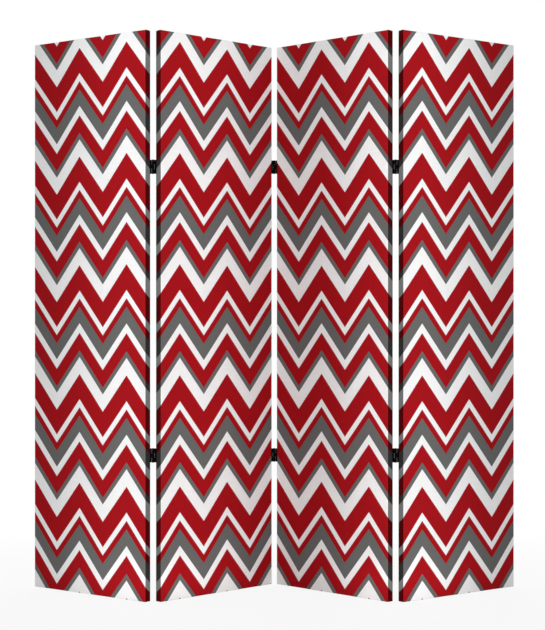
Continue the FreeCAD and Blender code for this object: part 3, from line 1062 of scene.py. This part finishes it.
brad_zinc = plated_wire("brad_zinc", ink(196, 196, 192), BRAD_CLOUDS)
staple_zinc = plated_wire("staple_zinc", ink(186, 187, 188), STAPLE_CLOUDS)
for panel in PANELS:
    turn = turn_of(panel)
    upright = bare_wood(f"pine_upright_{panel.number}", *PINE, turn, False)
    lying = bare_wood(f"pine_lying_{panel.number}", *PINE, turn, True)
    beech = bare_wood(f"beech_{panel.number}", *BEECH, turn, True)
    finishes = {"left_stile": upright, "right_stile": upright, "top_rail": lying, "bottom_rail": lying,
                "cross_rails": lying, "corner_biscuits": beech, "staples": staple_zinc,
                "hinge_brads": brad_zinc}
    for part, material in finishes.items():
        dress(f"{panel.body}_{part}", material)
print("wood and wire on", len(finishes) * len(PANELS), "nodes")

# %% [markdown]
# ## Lights
# The picture is lit so that each panel is brightest at the fold nearest to the eye and falls
# away to its far edge. A tall strip light in front of each of those folds does that, with a low
# one at its foot, where the strip ends at the floor and the panels would go dark. The picture
# isn't quite even, so the two sides have their own widths and powers. A broad soft light serves
# the back.

# %% Lights
Strip = namedtuple("Strip", "name side width power inward turn")
STRIPS = [  # inward is from the ridge towards the middle; turn is in degrees, outwards
    Strip("left", -1, 0.64, 2.71, 0.050, 2.1),
    Strip("right", 1, 0.47, 1.96, -0.024, 0.9),
]
STRIP_FOOT = 0.02  # above the floor
STRIP_AWAY = 0.44  # from the panels' nearest edge
LAMPS = [  # kind, height, share of the strip's power, spread in degrees
    ("strip", 2.10, 1.0, 52.0),
    ("foot", 0.06, 0.040, 32.0),
]
BACK_LIGHT = (3.0, 2.2)
BACK_AWAY = 2.6
BACK_POWER = 58.0


def soft_light(name, size, power, place, facing, turn=0.0, spread=180.0):
    """A rectangular light along +Y (facing 1) or -Y (facing -1), turned, unseen by the camera."""
    data = bpy.data.lights.new(name, "AREA")
    data.shape = "RECTANGLE"
    data.size, data.size_y = size
    data.energy = power
    data.spread = np.radians(spread)
    lamp = bpy.data.objects.new(name, data)
    lamp.location = place
    lamp.rotation_euler = (facing * np.pi / 2, 0, np.radians(turn))
    lamp.visible_camera = False
    bpy.context.scene.collection.objects.link(lamp)


ridge = max(abs(joint["pos_m"][0]) for joint in frame["joints"])
for strip in STRIPS:
    x, y = strip.side * (ridge - strip.inward), cad_low[1] - STRIP_AWAY
    for kind, height, share, spread in LAMPS:
        soft_light(f"{kind}_{strip.name}", (strip.width, height), share * strip.power,
                   (x, y, STRIP_FOOT + height / 2), 1, -strip.side * strip.turn, spread)
soft_light("back_light", BACK_LIGHT, BACK_POWER, (0, cad_high[1] + BACK_AWAY, PANELS[0].height / 2), -1)
print(len(STRIPS), "strips with their foot lights, and a back light")

# %% [markdown]
# ## World
# The ground in the picture is plain white, but a world that bright would wash the shading out.
# So it is white where it is seen, and only a part of that where it lights the panels.

# %% World
WORLD_FILL = 0.63


def seen_directly(tree):
    """1 for rays from the camera, or by way of a mirror or glass, and 0 for light on the object."""
    path = add(tree, "ShaderNodeLightPath").outputs
    direct = calc(tree, "MAXIMUM", path["Is Camera Ray"], path["Is Glossy Ray"])
    return calc(tree, "MAXIMUM", direct, path["Is Transmission Ray"])


def pale_world():
    """White to the camera, and an even fill for the object."""
    world = bpy.data.worlds.new("studio")
    world.use_nodes = True
    tree = world.node_tree
    strength = calc(tree, "MULTIPLY_ADD", seen_directly(tree), 1 - WORLD_FILL, WORLD_FILL)
    tree.links.new(strength, tree.nodes["Background"].inputs["Strength"])
    tree.nodes["Background"].inputs["Color"].default_value = (1, 1, 1, 1)
    bpy.context.scene.world = world


pale_world()
bpy.context.scene.view_settings.view_transform = "Standard"
print("the world lights at", WORLD_FILL, "of white")

# %% [markdown]
# ## Floor
# The pale floor takes the shadow. A plain white floor would still render grey, so for the camera
# it is lifted towards white, fully so away from the panels. That lift puts no light on them.

# %% Floor
FLOOR_HALF = 4.0
FLOOR_DROP = 0.0005  # below the panels' feet, so that the two don't share a plane
FLOOR_GREY = 0.82
FLOOR_LIFT = 0.88  # share of white that the camera sees in it
FADE_FROM, FADE_TO = 1.1, 2.2  # distance from the middle over which it goes to full white


def pale_floor():
    """A square floor that keeps the object's shadow and fades to white away from it."""
    corners = FLOOR_HALF * np.array([[-1, -1, 0], [1, -1, 0], [1, 1, 0], [-1, 1, 0]])
    mesh = bpy.data.meshes.new("floor")
    mesh.from_pydata((corners - [0, 0, FLOOR_DROP]).tolist(), [], [[0, 1, 2, 3]])
    floor = bpy.data.objects.new("floor", mesh)
    bpy.context.scene.collection.objects.link(floor)
    material, tree, shader = new_material("pale_floor", Roughness=0.9, Specular_IOR_Level=0.1)
    shader["Base Color"].default_value = (FLOOR_GREY, FLOOR_GREY, FLOOR_GREY, 1)
    away = add(tree, "ShaderNodeVectorMath", {0: object_place(tree)}, operation="LENGTH").outputs["Value"]
    lift = add(tree, "ShaderNodeMapRange", {0: away, 1: FADE_FROM, 2: FADE_TO, 3: FLOOR_LIFT, 4: 1.0},
               interpolation_type="SMOOTHSTEP").outputs[0]
    lifted = calc(tree, "MULTIPLY", lift, seen_directly(tree))
    plain = tree.nodes["Principled BSDF"].outputs[0]
    white = add(tree, "ShaderNodeEmission").outputs[0]
    mixed = add(tree, "ShaderNodeMixShader", {0: lifted, 1: plain, 2: white})
    tree.links.new(mixed.outputs[0], tree.nodes["Material Output"].inputs["Surface"])
    mesh.materials.append(material)


pale_floor()
print("a floor of", 2 * FLOOR_HALF, "m square")
